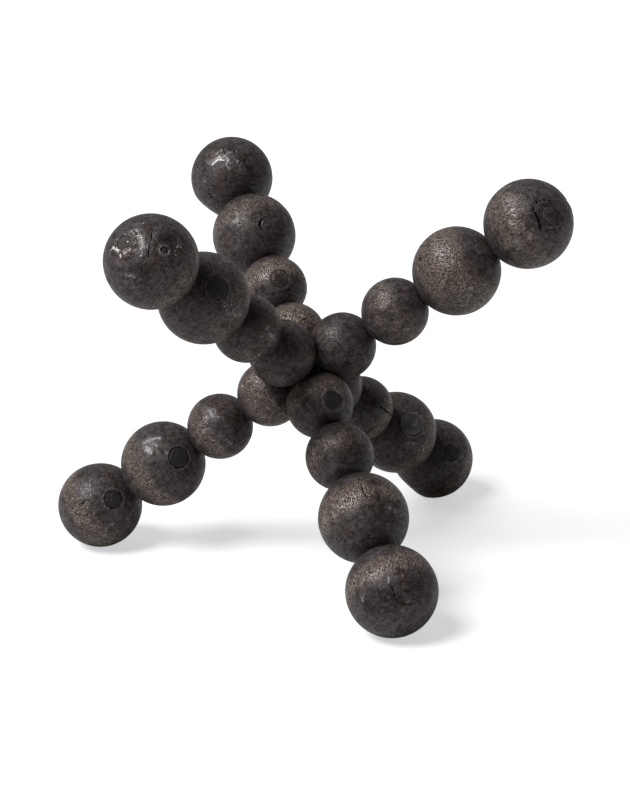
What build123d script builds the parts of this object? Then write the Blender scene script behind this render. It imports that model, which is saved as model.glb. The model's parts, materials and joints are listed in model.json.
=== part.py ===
from build123d import *
import math
import os

# Magnetic desk sculpture: six arms of four turned wooden balls, in the shape of a toy jack.
# The arms lie on three axes at right angles, and the jack stands on the tips of three of them.
# Every ball is blackened wood, bored on its arm's axis for a disc magnet at each end, and the
# flats round those magnets are where the balls meet. Some balls carry a third magnet in a bore
# that a wooden plug closes. The six innermost balls grip a steel ball in the space between them.
#
# Frame: millimetres, +Z up, origin on the desk straight below the centre, +X over the arm that
# points to the upper right.

# --- driving dimensions ---------------------------------------------------------------------
SMALL_BALL_D = 38.0
LARGE_BALL_D = 49.4
FLAT_DEPTH = 0.8            # how much each contact flat takes off its ball
CONTACT_GAP = 0.03          # running gap left between two facing flats

MAGNET_D = 8.0
MAGNET_LENGTH = 6.0
MAGNET_CHAMFER = 0.3
MAGNET_RECESS = 0.08        # magnet face below its flat
POCKET_CLEARANCE = 0.05     # glue line round a magnet and behind it
POCKET_CHAMFER = 0.3

CORE_D = 15.0               # steel ball in the centre

PLUG_LENGTH = 5.0           # from the ball's surface to the plug's seat
PLUG_CLEARANCE = 0.1        # glue line round a plug
PLUG_EDGE_CHAMFER = 0.35

# --- arms: name, azimuth in degrees, and whether it points up or down -------------------------
ARMS = [
    ("upper_right", 0, 1),
    ("upper_back", 120, 1),
    ("upper_front", 240, 1),
    ("lower_back", 60, -1),
    ("lower_left", 180, -1),
    ("lower_front", 300, -1),
]

# --- balls of one arm, from the centre outwards -----------------------------------------------
RANKS = ["inner", "second", "third", "tip"]
BALL_D = {
    "inner": SMALL_BALL_D,
    "second": SMALL_BALL_D,
    "third": LARGE_BALL_D,
    "tip": LARGE_BALL_D,
}

# --- plugs: all set by hand in bores that face nearly one way ----------------------------------
# Each one's diameter, the azimuth and elevation of its axis in degrees, and how far its crown
# stands out of the ball's surface.
PROUD = 0.7
FLUSH = 0.0
SUNK = -0.5
PLUGS = {
    ("upper_right", "tip"): (11.0, -57, 24, FLUSH),
    ("upper_back", "tip"): (10.0, -54, 23, FLUSH),
    ("upper_back", "third"): (11.0, -54, 25, SUNK),
    ("upper_back", "second"): (10.0, -68, 31, FLUSH),
    ("upper_back", "inner"): (10.0, -54, 26, FLUSH),
    ("upper_front", "tip"): (11.0, -55, 25, FLUSH),
    ("upper_front", "third"): (12.0, -57, 26, FLUSH),
    ("lower_back", "tip"): (10.0, -54, 26, FLUSH),
    ("lower_back", "third"): (12.0, -55, 27, PROUD),
    ("lower_back", "second"): (10.0, -55, 27, FLUSH),
    ("lower_left", "tip"): (11.0, -54, 26, SUNK),
    ("lower_left", "third"): (12.0, -52, 25, FLUSH),
    ("lower_front", "tip"): (11.0, -56, 24, FLUSH),
    ("lower_front", "inner"): (10.0, -55, 25, SUNK),
}
# These plugs are filled over and sanded in with their ball, so they are kept in its node.
PLUGS_IN_BALL_NODE = [("upper_back", "tip"), ("upper_back", "inner"), ("lower_back", "second")]

# --- worked out from the driving dimensions ---------------------------------------------------
RISE = 1 / math.sqrt(3)     # an axis of a jack on three tips rises by this share of its length
REACH = math.sqrt(2 / 3)    # and runs out sideways by this share
SEAM_SIDE = (125, 0)        # azimuth and elevation of the side turned away from the plugs


def ball_distances():
    """Distance of each ball's centre from the jack's centre, by rank."""
    inner = (SMALL_BALL_D - 2 * FLAT_DEPTH) / math.sqrt(2)
    distances = {"inner": inner}
    for near, far in zip(RANKS, RANKS[1:]):
        step = (BALL_D[near] + BALL_D[far]) / 2 - 2 * FLAT_DEPTH
        distances[far] = distances[near] + step
    return distances


BALL_DISTANCE = ball_distances()
CENTRE_HEIGHT = BALL_DISTANCE["tip"] * RISE + LARGE_BALL_D / 2
CENTRE = Vector(0, 0, CENTRE_HEIGHT)
POCKET_DEPTH = MAGNET_RECESS + MAGNET_LENGTH + POCKET_CLEARANCE


def direction(azimuth, rise, reach):
    """Unit vector at an azimuth in degrees, with the given vertical and sideways shares."""
    angle = math.radians(azimuth)
    return Vector(reach * math.cos(angle), reach * math.sin(angle), rise)


def pointing(azimuth, elevation):
    """Unit vector at an azimuth and an elevation in degrees."""
    tilt = math.radians(elevation)
    return direction(azimuth, math.sin(tilt), math.cos(tilt))


ARM_AXIS = {name: direction(azimuth, up * RISE, REACH) for name, azimuth, up in ARMS}


def ball_centre(arm, rank):
    return CENTRE + ARM_AXIS[arm] * BALL_DISTANCE[rank]


def flat_distance(rank):
    """Distance from a ball's centre to each of its contact flats."""
    return BALL_D[rank] / 2 - FLAT_DEPTH - CONTACT_GAP / 2


def rod(point, axis, radius, start, end):
    """Cylinder about a line, between two distances along it from a point."""
    base = Plane(origin=point + axis * start, z_dir=axis)
    return base * Cylinder(radius, end - start, align=(Align.CENTER, Align.CENTER, Align.MIN))


def seam_direction(axis):
    """Direction at right angles to an axis, on the side away from the plugs."""
    away = pointing(*SEAM_SIDE)
    return (away - axis * away.dot(axis)).normalized()


def plain_ball(arm, rank):
    """Whole ball, with its poles on the arm's axis."""
    axis = ARM_AXIS[arm]
    frame = Plane(origin=ball_centre(arm, rank), x_dir=seam_direction(axis), z_dir=axis)
    return frame * Sphere(BALL_D[rank] / 2)


def flat_axes(arm, rank):
    """Directions of a ball's flats: both poles, and the four neighbours of an inner ball."""
    axis = ARM_AXIS[arm]
    axes = [axis, -axis]
    if rank == "inner":
        for other in ARM_AXIS.values():
            if abs(other.dot(axis)) < 0.5:
                axes.append((other - axis).normalized())
    return axes


def magnet_pocket(point, axis, mouth):
    """Bore for one magnet, from its mouth inwards, with a chamfered edge."""
    radius = MAGNET_D / 2 + POCKET_CLEARANCE
    bore = rod(point, axis, radius, mouth - POCKET_DEPTH, mouth + 1)
    edge = Plane(origin=point + axis * (mouth - POCKET_CHAMFER), z_dir=axis)
    cone = edge * Cone(
        radius,
        radius + 2 * POCKET_CHAMFER,
        2 * POCKET_CHAMFER,
        align=(Align.CENTER, Align.CENTER, Align.MIN),
    )
    return bore + cone


def magnet(point, axis, mouth):
    """Disc magnet set just below the mouth of its pocket."""
    face = mouth - MAGNET_RECESS
    disc = rod(point, axis, MAGNET_D / 2, face - MAGNET_LENGTH, face)
    return chamfer(disc.edges().filter_by(GeomType.CIRCLE), MAGNET_CHAMFER)


def plug_seat(rank):
    """Distance from a ball's centre to the seat its plug stands on."""
    return BALL_D[rank] / 2 - PLUG_LENGTH


def plug_bore(arm, rank):
    """Stepped bore: the plug's counterbore, and the magnet's pocket under it."""
    diameter, azimuth, elevation, stand_off = PLUGS[arm, rank]
    axis = pointing(azimuth, elevation)
    point = ball_centre(arm, rank)
    seat = plug_seat(rank)
    counterbore = rod(point, axis, diameter / 2 + PLUG_CLEARANCE, seat, BALL_D[rank])
    pocket = rod(point, axis, MAGNET_D / 2 + POCKET_CLEARANCE, seat - POCKET_DEPTH, seat + 1)
    return counterbore + pocket


def plug(arm, rank):
    """Round wooden plug whose crown follows the ball, proud of it, flush or sunk."""
    diameter, azimuth, elevation, stand_off = PLUGS[arm, rank]
    axis = pointing(azimuth, elevation)
    point = ball_centre(arm, rank)
    blank = rod(point, axis, diameter / 2, plug_seat(rank) + PLUG_CLEARANCE, BALL_D[rank])
    crown = Plane(origin=point, z_dir=axis) * Sphere(BALL_D[rank] / 2 + stand_off)
    body = blank & crown
    edges = body.edges().filter_by(GeomType.CIRCLE).sort_by(lambda e: e.center().dot(axis))
    return chamfer([edges[0], edges[-1]], PLUG_EDGE_CHAMFER)


def ball(arm, rank):
    """Turned ball with its flats, its magnet pockets and, where it has one, its plug's bore."""
    point = ball_centre(arm, rank)
    axis = ARM_AXIS[arm]
    mouth = flat_distance(rank)
    body = plain_ball(arm, rank)
    for flat_axis in flat_axes(arm, rank):
        body -= rod(point, flat_axis, BALL_D[rank] / 2, mouth, BALL_D[rank])
    body -= magnet_pocket(point, axis, mouth)
    body -= magnet_pocket(point, -axis, mouth)
    if (arm, rank) in PLUGS:
        body -= plug_bore(arm, rank)
    return body


def ball_magnets(arm, rank):
    """The magnets of one ball: one behind each pole's flat, and one behind the plug."""
    point = ball_centre(arm, rank)
    axis = ARM_AXIS[arm]
    mouth = flat_distance(rank)
    magnets = [magnet(point, axis, mouth), magnet(point, -axis, mouth)]
    if (arm, rank) in PLUGS:
        diameter, azimuth, elevation, stand_off = PLUGS[arm, rank]
        magnets.append(magnet(point, pointing(azimuth, elevation), plug_seat(rank)))
    return magnets


def save(node, solids):
    """Write one node, as a single solid or as a group of separate ones."""
    shape = solids[0] if len(solids) == 1 else Compound(children=solids)
    shape.label = node
    export_step(shape, f"parts/{node}.step")


def only_solid(shape):
    return shape.solids()[0]


def write_ball(arm, rank):
    """Write the nodes of one ball: the ball, its magnets and its plug."""
    name = f"{arm}_{rank}"
    ball_solids = [only_solid(ball(arm, rank))]
    if (arm, rank) in PLUGS_IN_BALL_NODE:
        ball_solids.append(only_solid(plug(arm, rank)))
    elif (arm, rank) in PLUGS:
        save(f"{name}_plug", [only_solid(plug(arm, rank))])
    save(f"{name}_ball", ball_solids)
    save(f"{name}_magnets", [only_solid(part) for part in ball_magnets(arm, rank)])


def main():
    os.makedirs("parts", exist_ok=True)
    core = Plane(origin=CENTRE) * Sphere(CORE_D / 2)
    save("steel_core", [only_solid(core)])
    for arm in ARM_AXIS:
        for rank in RANKS:
            write_ball(arm, rank)


main()
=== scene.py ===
"""Looks of the magnetic desk sculpture: six arms of blackened wooden balls, standing on a white sweep.

Every ball is a dense mesh with its own contact flats, magnet pockets, plug bore, dents, pits and cracks.
Lengths inside the mesh code are millimetres in a ball's own frame, whose z axis is the arm's axis, which
is also the lathe's axis and the way the wood's fibres run.
"""

import json
import math

import bmesh
import bpy
import numpy as np
from mathutils import Matrix, Vector


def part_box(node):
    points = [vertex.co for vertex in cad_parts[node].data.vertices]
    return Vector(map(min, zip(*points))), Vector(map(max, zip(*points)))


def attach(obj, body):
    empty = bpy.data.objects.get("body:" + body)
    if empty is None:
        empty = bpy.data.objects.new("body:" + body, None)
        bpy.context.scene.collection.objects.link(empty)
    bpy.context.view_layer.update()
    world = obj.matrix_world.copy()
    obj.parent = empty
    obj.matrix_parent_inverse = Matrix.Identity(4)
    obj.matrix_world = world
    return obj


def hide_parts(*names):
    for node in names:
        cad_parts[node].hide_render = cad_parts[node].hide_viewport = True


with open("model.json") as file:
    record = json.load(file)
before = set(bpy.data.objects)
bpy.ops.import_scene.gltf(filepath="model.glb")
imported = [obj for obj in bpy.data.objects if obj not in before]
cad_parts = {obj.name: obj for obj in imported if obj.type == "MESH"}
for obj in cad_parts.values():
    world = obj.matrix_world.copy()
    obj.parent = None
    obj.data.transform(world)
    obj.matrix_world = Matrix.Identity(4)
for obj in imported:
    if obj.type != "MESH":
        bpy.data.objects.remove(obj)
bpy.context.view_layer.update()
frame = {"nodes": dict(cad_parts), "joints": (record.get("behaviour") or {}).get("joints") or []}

MM = 0.001
SEED = 24

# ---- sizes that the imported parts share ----
FLAT_DEPTH = 0.815          # a contact flat's depth below its ball's surface, with half the gap
POCKET_RADIUS = 4.05
POCKET_DEPTH = 6.13
PLUG_LENGTH = 5.0
CORE_LOW, CORE_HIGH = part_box("steel_core")
CORE = (CORE_LOW + CORE_HIGH) / 2

# ---- mesh density ----
SPHERE_LEVELS = 7           # edges about 0.4 mm long
FINE_PASSES = 2             # each pass halves the edges round a plug or a crack
SHARP_ANGLE = 35.0          # a steeper fold, in degrees, is shaded as an edge
PLUG_RINGS, PLUG_SEGMENTS = 60, 160


def direction(azimuth, elevation):
    """Unit vector in the row frame, from degrees."""
    a, e = math.radians(azimuth), math.radians(elevation)
    return np.array([math.cos(e) * math.cos(a), math.cos(e) * math.sin(a), math.sin(e)])


# ---- the balls, read from the frame ----
def ball_place(node, axis):
    """Centre in metres and radius in millimetres. No flat reaches a ball's top or bottom."""
    low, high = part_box(node)
    rise = (low.z + high.z) / 2 - CORE.z
    centre = CORE + axis * (rise / axis.z)
    return centre, round((high.z - low.z) / 2 / MM, 1)


def read_balls():
    """One entry per ball: its place, its size, and its own axes as the rows of a matrix."""
    balls = {}
    for joint in frame["joints"]:
        body = joint["child"]
        axis = Vector(joint["axis"])
        centre, radius = ball_place(f"{body}_ball", axis)
        across = axis.cross(Vector((0, 0, 1))).normalized()
        balls[body] = {
            "centre": centre,
            "radius": radius,
            "axis": np.array(axis),
            "axes": np.array([across.cross(axis), across, axis]),
        }
    return balls


BALLS = read_balls()


# ---- noise ----
class Noise:
    """Gradient noise on arrays of points, about -1 to 1, the same on every run."""

    def __init__(self, seed):
        rng = np.random.default_rng(seed)
        self.order = np.tile(rng.permutation(256), 3)
        gradients = rng.normal(size=(256, 3))
        self.gradients = gradients / np.linalg.norm(gradients, axis=1)[:, None]

    def corner(self, cell, offset, inside):
        key = (cell + offset) & 255
        picked = self.order[self.order[self.order[key[:, 0]] + key[:, 1]] + key[:, 2]]
        return np.einsum("ij,ij->i", self.gradients[picked], inside - offset)

    def __call__(self, points, scale=1.0):
        p = points * scale
        cell = np.floor(p).astype(int)
        inside = p - cell
        fade = inside ** 3 * (inside * (inside * 6 - 15) + 10)
        total = np.zeros(len(p))
        for offset in np.ndindex(2, 2, 2):
            offset = np.array(offset)
            weight = np.prod(np.where(offset == 1, fade, 1 - fade), axis=1)
            total += weight * self.corner(cell, offset, inside)
        return total * 1.6


# ---- mesh tools on arrays of vertices and triangles ----
def unit_sphere():
    """Vertices and triangles of a fine icosphere of radius 1."""
    bm = bmesh.new()
    bmesh.ops.create_icosphere(bm, subdivisions=SPHERE_LEVELS, radius=1.0)
    vertices = np.array([v.co for v in bm.verts])
    triangles = np.array([[v.index for v in face.verts] for face in bm.faces])
    bm.free()
    return vertices / np.linalg.norm(vertices, axis=1)[:, None], triangles


def rows(*columns):
    """One row per item, such as a triangle's corners, from columns of equal length."""
    return np.stack(columns, axis=1)


def refine(vertices, triangles, hot):
    """Splits every triangle that touches a hot vertex in four, and its neighbours to match."""
    chosen = hot[triangles].any(axis=1)
    sides = np.sort(np.stack([triangles, np.roll(triangles, -1, axis=1)], axis=2), axis=2)
    flat = sides.reshape(-1, 2)
    key = flat[:, 0].astype(np.int64) * len(vertices) + flat[:, 1]
    split_keys = np.unique(key.reshape(-1, 3)[chosen])
    ends = rows(split_keys // len(vertices), split_keys % len(vertices))
    middles = vertices[ends].mean(axis=1)
    middles /= np.linalg.norm(middles, axis=1)[:, None]
    found = np.searchsorted(split_keys, key)
    found[found == len(split_keys)] = 0
    is_split = split_keys[found] == key
    middle = np.where(is_split, found + len(vertices), -1).reshape(-1, 3)
    count = (middle >= 0).sum(axis=1)
    parts = [triangles[count == 0]]
    whole, m = triangles[count == 3], middle[count == 3]
    parts += [
        rows(whole[:, 0], m[:, 0], m[:, 2]),
        rows(whole[:, 1], m[:, 1], m[:, 0]),
        rows(whole[:, 2], m[:, 2], m[:, 1]),
        m,
    ]
    for turn in range(3):
        t, m = np.roll(triangles, -turn, axis=1), np.roll(middle, -turn, axis=1)
        one = (count == 1) & (m[:, 0] >= 0)
        two = (count == 2) & (m[:, 2] < 0)
        parts += [
            rows(t[one, 0], m[one, 0], t[one, 2]),
            rows(m[one, 0], t[one, 1], t[one, 2]),
            rows(m[two, 0], t[two, 1], m[two, 1]),
            rows(t[two, 0], m[two, 0], m[two, 1]),
            rows(t[two, 0], m[two, 1], t[two, 2]),
        ]
    return np.concatenate([vertices, middles]), np.concatenate(parts)


def bore(vertices, triangles, grain, axis, outline, depth):
    """Cuts a blind bore: opens the surface inside an outline and adds the bore's wall and floor.

    The outline gives the opening's radius at each angle about the axis.
    """
    u = np.cross(axis, [0.0, 1.0, 0.0])
    u /= np.linalg.norm(u)
    v = np.cross(axis, u)
    along = vertices @ axis
    x, y = vertices @ u, vertices @ v
    limit = outline(np.arctan2(y, x))
    inside = (np.hypot(x, y) < limit) & (along > 0)
    kept = triangles[~inside[triangles].any(axis=1)]
    starts, ends = kept.ravel(), np.roll(kept, -1, axis=1).ravel()
    n = len(vertices)
    forward, backward = starts * n + ends, ends * n + starts
    loose = ~np.isin(forward, backward)
    starts, ends = starts[loose], ends[loose]
    rim = np.unique(starts)
    stretch = (limit[rim] / np.hypot(x[rim], y[rim]))[:, None]
    vertices = vertices.copy()
    vertices[rim] = axis * along[rim, None] + (u * x[rim, None] + v * y[rim, None]) * stretch
    floor_height = along[rim].mean() - depth
    foot = vertices[rim] + axis * (floor_height - vertices[rim] @ axis)[:, None]
    foot_index = np.full(n, -1)
    foot_index[rim] = n + np.arange(len(rim))
    hub = n + len(rim)
    new_vertices = np.concatenate([vertices, foot, [axis * floor_height]])
    new_grain = np.concatenate([grain, foot, [axis * floor_height]])
    a, b = foot_index[starts], foot_index[ends]
    faces = [
        kept,
        rows(ends, starts, a),
        rows(ends, a, b),
        rows(b, a, np.full(len(a), hub)),
    ]
    return new_vertices, np.concatenate(faces), new_grain


def soft_min(a, b, width):
    blend = np.clip(0.5 + 0.5 * (b - a) / width, 0, 1)
    return b + (a - b) * blend - width * blend * (1 - blend)


def drop_unused(vertices, triangles, layers):
    """Removes vertices that no triangle uses, from the vertices and from each layer."""
    used = np.unique(triangles)
    index = np.full(len(vertices), -1)
    index[used] = np.arange(len(used))
    return vertices[used], index[triangles], {name: data[used] for name, data in layers.items()}


def new_object(name, data):
    obj = bpy.data.objects.new(name, data)
    bpy.context.scene.collection.objects.link(obj)
    return obj


def mesh_object(name, vertices, triangles, layers):
    """Object from millimetre arrays, with its layers as vertex attributes."""
    mesh = bpy.data.meshes.new(name)
    mesh.from_pydata((vertices * MM).tolist(), [], triangles.tolist())
    for layer, data in layers.items():
        kind = "FLOAT_VECTOR" if data.ndim == 2 else "FLOAT"
        field = "vector" if data.ndim == 2 else "value"
        attribute = mesh.attributes.new(layer, kind, "POINT")
        attribute.data.foreach_set(field, data.astype(np.float32).ravel())
    mesh.polygons.foreach_set("use_smooth", [True] * len(mesh.polygons))
    mesh.set_sharp_from_angle(angle=math.radians(SHARP_ANGLE))
    return new_object(name, mesh)


# ---- marks on single balls ----
# A mark is its half width in mm, its strength, and the points of its line (or its one point) as azimuth
# and elevation in degrees, seen from the ball's own centre. The kinds are sooty patches (dark), whose marks
# of 40 mm half width over whole balls near the jack's middle are painted shade, brown stain (warm), wax
# haze (bloom), dried wax and, on the lit upper left, painted highlights (pale), polish (gloss), painted
# golden glints (glint), painted silver highlights (spark), cracks and pits.
MARKS = {
    "upper_front_tip": {
        "dark": [
            (6, 1, (-48, 40)), (6, 0.8, (-55, 30)), (6.5, 0.8, (-86, 1)), (4, 0.6, (-99, 4)),
            (1.8, 0.9, (-62, 41), (-55, 47), (-43, 49), (-29, 47), (-24, 40), (-25, 32)),
        ],
        "warm": [(2, 0.9, (-41, 22)), (5, 0.5, (-120, 30)), (7, 0.3, (-90, -40)), (1.2, 1, (-15, 35))],
        "bloom": [(3.2, 0.5, (-105, -2)), (5, 0.4, (-92, 40), (-88, 24)), (4, 0.4, (-118, 10))],
        # pale: dried wax, and painted highlights where the strokes lie on the lit upper left
        "pale": [
            (0.8, 0.9, (-113, 50), (-110, 53), (-104, 53), (-98, 48)),
            (0.4, 0.5, (-69, 52), (-71, 45), (-76, 39), (-80, 32), (-81, 26)),
            (0.4, 0.4, (-65, 51), (-68, 41), (-73, 34), (-75, 27), (-76, 22)),
            (1.6, 0.4, (-107, -2), (-97, -5)), (0.4, 0.3, (-12, -1), (-13, -12), (-23, -21), (-27, -30)),
            (0.4, 0.25, (-38, -13), (-46, -22), (-59, -25), (-71, -24)),
            (0.5, 0.5, (-100, 66), (-118, 62)), (1.6, 0.3, (-91, 41), (-87, 34), (-88, 24)),
        ],
        "gloss": [
            (2.6, 0.9, (-104, 50), (-92, 42), (-87, 33), (-86, 22)), (4, 0.9, (-130, 25), (-112, 26)),
        ],
        "glint": [
            (0.45, 0.9, (-116, 43), (-119, 39), (-118, 35), (-121, 32), (-124, 29)),
            (0.8, 0.9, (-118, 20), (-116, 16)), (0.4, 0.6, (-112, 21), (-109, 24), (-104, 28)),
            (0.7, 0.6, (-44, 19)), (0.4, 0.5, (-44, 23), (-35, 30), (-30, 21)), (0.4, 0.5, (-39, 16)),
        ],
        "spark": [
            (0.9, 1, (-135, 26), (-130, 25), (-124, 24)), (0.5, 0.8, (-139, 20), (-135, 26)),
            (0.4, 1, (-93, 65)), (0.45, 1, (-82, 43)), (0.5, 0.8, (-88, 21)),
            (0.35, 0.32, (-94, 43), (-90, 38)), (0.35, 0.32, (-89, 41), (-87, 36), (-87, 31)),
            (0.35, 0.32, (-86, 34), (-84, 29)), (0.35, 0.32, (-89, 30), (-88, 24), (-90, 20)),
            (0.35, 0.32, (-85, 27), (-87, 21)), (0.5, 0.5, (-89, 21), (-87, 20)),
        ],
        "crack": [
            (0.4, 0.8, (-73, 50), (-74, 41), (-78, 34), (-79, 25), (-79, 18)),
            (0.45, 0.6, (-82, -1), (-68, 6), (-57, 7), (-48, 5), (-39, 10)),
        ],
        "pit": [
            (0.75, 1, (-62, 27)), (0.75, 0.9, (-55, 24)), (0.8, 0.6, (-100, 49)), (0.7, 0.9, (-101, 48)),
        ],
    },
    "upper_front_third": {
        "dark": [(9, 1, (-60, 24)), (8, 0.6, (-75, 40))],
        "bloom": [(3, 0.4, (-52, 7), (-45, -9), (-29, 0))],
        "pale": [
            (0.9, 0.5, (-42, 62), (-32, 58)), (1.6, 0.3, (-38, 15), (-42, 2), (-36, -12), (-45, -25)),
            (1, 0.6, (-13, 61), (-3, 55)),
            (1.3, 0.3, (-52, 7), (-51, -1), (-45, -9), (-29, 0), (-25, 10)), (0.5, 0.5, (-74, -19)),
            (1.2, 0.35, (-113, 1)),
        ],
        "crack": [
            (0.4, 0.5, (-47, 47), (-36, 41), (-31, 35)), (0.4, 0.6, (-64, 40), (-50, 42), (-41, 35)),
        ],
    },
    "upper_front_second": {
        # painted shade: the 40 mm dark mark darkens this ball, which lies near the jack's middle
        "dark": [(9, 0.7, (-70, 40)), (40, 0.22, (-80, 0))],
        "warm": [(3, 0.6, (-20, 15)), (1.6, 0.8, (-29, 14), (-20, 6))],
        "bloom": [(2.5, 0.6, (-34, -3))],
        "pale": [
            (1.8, 0.8, (-42, 12)), (1.2, 0.4, (-50, 20)), (1.6, 0.6, (-38, 1), (-27, -7)),
            (1, 0.5, (7, 70), (11, 50), (21, 31)),
        ],
    },
    "upper_front_inner": {
        # painted shade: the 40 mm dark mark darkens this ball, which lies near the jack's middle
        "dark": [(6, 0.5, (-60, 30)), (40, 0.24, (-80, 0))],
        "warm": [(0.8, 0.7, (-27, 32), (-22, 23), (-29, 12))],
        "pale": [(0.8, 0.5, (-60, 5)), (0.8, 0.5, (12, 56), (46, 62))],
    },
    "upper_back_tip": {
        "dark": [(5, 0.9, (-50, 21)), (9, 0.5, (-60, 2)), (1.2, 0.8, (-89, 34), (-87, 20), (-86, 8))],
        "warm": [
            (2.6, 0.9, (-98, 22)), (2.6, 0.9, (-97, 8)), (2.6, 0.9, (-96, -6)), (3, 0.4, (-108, 54)),
        ],
        "bloom": [(6, 0.4, (-85, 32)), (4, 0.35, (-120, 8))],
        # pale: dried wax, and painted highlights where the strokes lie on the lit upper left
        "pale": [
            (2.2, 0.5, (-69, 33)), (1.6, 0.5, (-120, 4)), (0.5, 1, (-117, -16)),
            (1.1, 0.7, (-110, 44), (-107, 49), (-99, 52)), (0.7, 0.7, (-89, 44), (-84, 49), (-75, 50)),
            (0.8, 0.9, (-84, 36), (-87, 33), (-86, 29), (-83, 24)),
            (1.1, 0.5, (-73, 37), (-67, 33), (-70, 30)), (0.35, 0.4, (-43, 31), (-41, 24), (-45, 16)),
            (0.8, 0.4, (-131, 21)), (0.8, 0.35, (-33, 27)),
        ],
        "gloss": [(3, 1, (-114, 30), (-104, 38), (-92, 40)), (2.4, 1, (-85, 38), (-84, 25))],
        "spark": [(0.8, 0.75, (-111, 27), (-107, 33), (-101, 37), (-91, 36))],
        "crack": [
            (0.45, 0.9, (-108, 60), (-101, 58), (-94, 50), (-91, 46)), (0.4, 0.9, (-94, 38), (-91, 38)),
        ],
        "pit": [
            (0.7, 0.9, (-108, -1)), (0.8, 1, (-115, -14)), (0.7, 0.8, (-112, -19)), (0.9, 0.7, (-71, 50)),
        ],
    },
    "upper_back_third": {
        "dark": [(9, 0.5, (-50, 10)), (3, 0.4, (-45, 22))],
        "warm": [(4, 0.5, (-122, -18)), (3, 0.4, (-123, -1)), (3, 0.5, (-138, 38))],
        "bloom": [(4, 0.4, (-90, 24))],
        "pale": [
            (1.2, 0.5, (-109, 36)), (1.3, 0.5, (-111, 28)), (1.2, 0.5, (-124, 13)), (1.2, 0.3, (-79, 39)),
            (1.5, 0.4, (-60, 26)), (1.1, 0.6, (-104, 33), (-103, 25)),
        ],
        "gloss": [(3, 0.9, (-110, 32))],
    },
    "upper_back_second": {
        "dark": [(5.5, 0.8, (-68, 30)), (7, 0.5, (-60, 10))],
        "pale": [(1.6, 0.5, (-115, 60)), (1, 0.4, (-25, 43))],
        "crack": [(0.4, 0.7, (-76, 45), (-64, 47), (-51, 41))],
    },
    "upper_back_inner": {"crack": [(0.5, 0.8, (-63, 33), (-56, 42), (-43, 43))]},
    "upper_right_tip": {
        "dark": [
            (10, 1, (-60, 24)), (7, 0.5, (-45, 38)), (3.5, 0.8, (-74, 18)),
            (2.5, 1, (-74, 43), (-79, 34)),
        ],
        "warm": [(2.5, 0.8, (-6, 31))],
        "bloom": [(4.5, 0.8, (-102, -12))],
        "pale": [
            (2, 1, (-109, 12)), (2.6, 0.35, (-104, -10)),
            (0.3, 0.4, (-68, 8), (-60, 7), (-49, 7), (-45, 7)),
            (0.3, 0.4, (-15, -5), (-29, -12), (-36, -18), (-49, -25)), (1.6, 0.35, (-120, 35)),
            (2.2, 0.35, (-94, -13), (-103, -10)),
            (0.45, 0.7, (-11, -4), (-23, -9), (-32, -16), (-47, -29), (-53, -39)),
        ],
        "spark": [
            (0.3, 0.6, (-76, 37)), (0.3, 0.6, (-78, 29)), (0.3, 0.6, (-81, 26)), (0.3, 0.6, (-75, 45)),
        ],
        "crack": [
            (1.6, 0.5, (-70, 43), (-81, 37), (-79, 29)),
            (1, 0.9, (-79, 29), (-75, 22), (-73, 14), (-72, 7)),
            (0.8, 0.4, (-72, 7), (-68, 0), (-62, -12)), (0.7, 0.5, (-70, 43), (-52, 42), (-34, 38)),
            (0.4, 0.5, (-68, 4), (-57, 4), (-43, 4)), (0.9, 0.8, (-8, 39), (-6, 32), (-6, 26)),
        ],
    },
    "upper_right_third": {
        "dark": [(8, 0.45, (-62, 20)), (40, 0.06, (-80, 0))],
        "warm": [(3, 0.6, (-95, 14), (-86, 4))],
        "bloom": [(2.4, 0.6, (-106, 49), (-114, 36)), (3, 0.4, (-100, -20), (-70, -14))],
        "pale": [(1.8, 0.9, (-116, -18)), (1.8, 0.8, (-66, -9))],
        "crack": [(0.35, 0.5, (-100, 64), (-88, 30))],
        "pit": [(1.3, 1, (-151, 26), (-147, 21)), (0.9, 0.7, (-143, 13)), (0.5, 0.4, (-108, 14))],
    },
    "upper_right_inner": {
        # painted shade: the 40 mm dark mark darkens this ball, which lies near the jack's middle
        "dark": [(12, 0.7, (-35, 20)), (5, 0.6, (-75, 5)), (40, 0.42, (-80, 0))],
        "pale": [
            (0.4, 0.8, (-109, 42)), (0.4, 0.8, (-98, 30)), (0.4, 0.7, (-118, 19)), (0.35, 0.6, (-93, 32)),
            (0.35, 0.6, (-114, 12)), (0.35, 0.4, (-91, -9), (-78, -6)),
        ],
        "gloss": [(4, 0.25, (-100, 35))],
    },
    "lower_left_tip": {
        "dark": [(7, 0.6, (-52, 27))],
        "warm": [(3, 0.6, (-100, -12), (-85, -22))],
        "bloom": [(3, 0.4, (-66, -12), (-80, -25))],
        # pale: dried wax, and painted highlights where the strokes lie on the lit upper left
        "pale": [
            (0.45, 0.7, (-96, 58), (-94, 48), (-91, 38), (-90, 32)),
            (0.5, 0.55, (-103, 50), (-101, 37), (-98, 30)), (0.4, 0.5, (-77, 57), (-69, 58), (-63, 53)),
            (0.35, 0.45, (-69, 52), (-63, 46), (-58, 38)), (1.1, 0.4, (-66, -11), (-57, -8)),
            (1.5, 0.35, (-69, -27)), (0.8, 0.3, (-144, 10), (-141, 3)),
        ],
        "crack": [(0.5, 0.7, (-103, 20), (-97, 26))],
        "pit": [(0.6, 0.6, (-101, 22))],
    },
    "lower_left_third": {
        "dark": [(10, 0.6, (-50, 22)), (8, 0.5, (-40, 5))],
        "bloom": [(4.5, 0.5, (-104, 42)), (3, 0.4, (-70, 30))],
        # pale: dried wax, and painted highlights where the strokes lie on the lit upper left
        "pale": [
            (1.3, 0.4, (-72, 35), (-68, 29)), (1.2, 0.45, (-41, -6)), (1.4, 0.45, (-43, -17)),
            (1.8, 0.45, (-88, -42), (-78, -43)), (0.8, 0.6, (-124, -11), (-122, -14)),
            (0.5, 0.7, (-51, 55)), (0.5, 0.6, (-27, 51)),
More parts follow.
